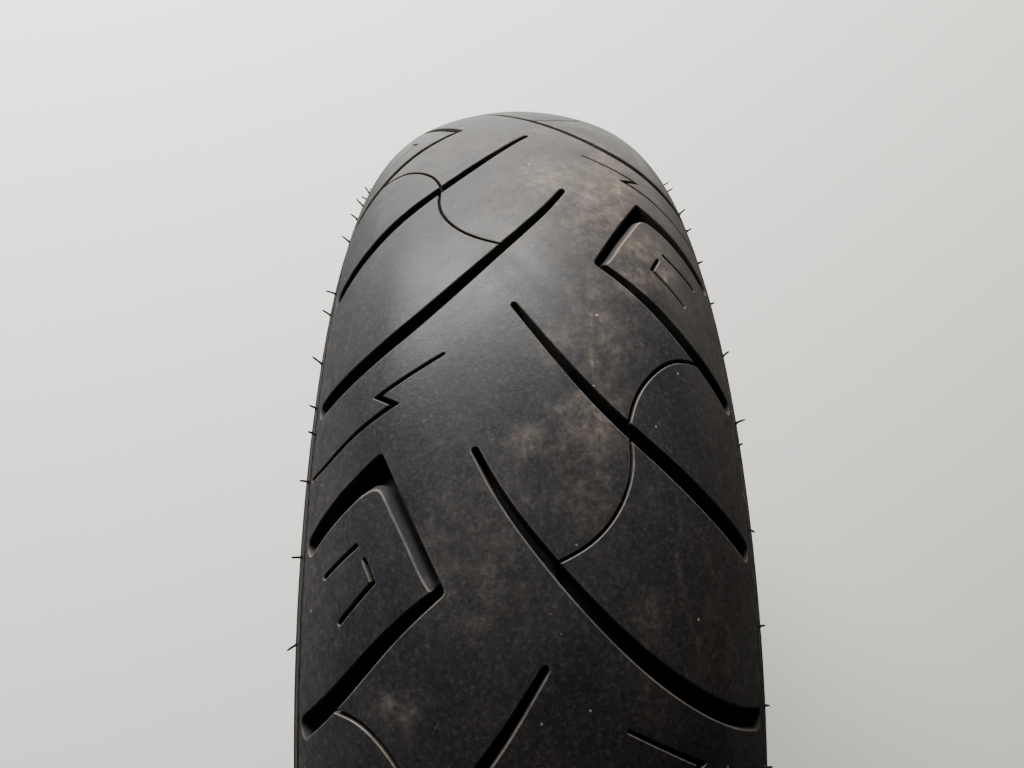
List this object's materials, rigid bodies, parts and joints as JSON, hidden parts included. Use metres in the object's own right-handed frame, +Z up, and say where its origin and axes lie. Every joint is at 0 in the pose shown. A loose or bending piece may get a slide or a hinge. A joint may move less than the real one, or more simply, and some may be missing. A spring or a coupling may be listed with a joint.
{
  "type": "motorcycle tire",
  "caption": "Bare tubeless motorcycle tire with a swept groove pattern, layered fabric casing, steel-hooped beads and moulding hairs.",
  "frame": {"origin": "centre of the tire, on its spin axis and middle plane", "axes": "+Y along the spin axis towards the right side, +Z up, +X forward; the tire stands upright on its tread"},
  "size_m": [0.652, 0.1774, 0.652],
  "materials": {
    "tread_rubber": "satin black rubber, lightly dusty",
    "sidewall_rubber": "satin black rubber",
    "base_rubber": "matt black rubber",
    "belt_fabric": "rubberised cord",
    "ply_fabric": "rubberised cord",
    "liner_rubber": "smooth matt black rubber",
    "filler_rubber": "hard black rubber",
    "chafer_rubber": "smooth black rubber",
    "bead_steel": "bronze-coated bead wire"
  },
  "bodies": {
    "root": {"tread": "tread_rubber", "undertread": "base_rubber", "breaker_belt_2": "belt_fabric", "breaker_belt_1": "belt_fabric", "belt_edge_strip_left": "base_rubber", "belt_edge_strip_right": "base_rubber", "body_ply_2": "ply_fabric", "body_ply_1": "ply_fabric", "inner_liner": "liner_rubber", "sidewall_left": "sidewall_rubber", "sidewall_right": "sidewall_rubber", "bead_wires_left": "bead_steel", "bead_wires_right": "bead_steel", "bead_wrap_left": "base_rubber", "bead_wrap_right": "base_rubber", "bead_filler_left": "filler_rubber", "bead_filler_right": "filler_rubber", "chafer_left": "chafer_rubber", "chafer_right": "chafer_rubber", "toe_strip_left": "chafer_rubber", "toe_strip_right": "chafer_rubber", "vent_spews_left": "tread_rubber", "vent_spews_right": "tread_rubber"}
  },
  "joints": []
}
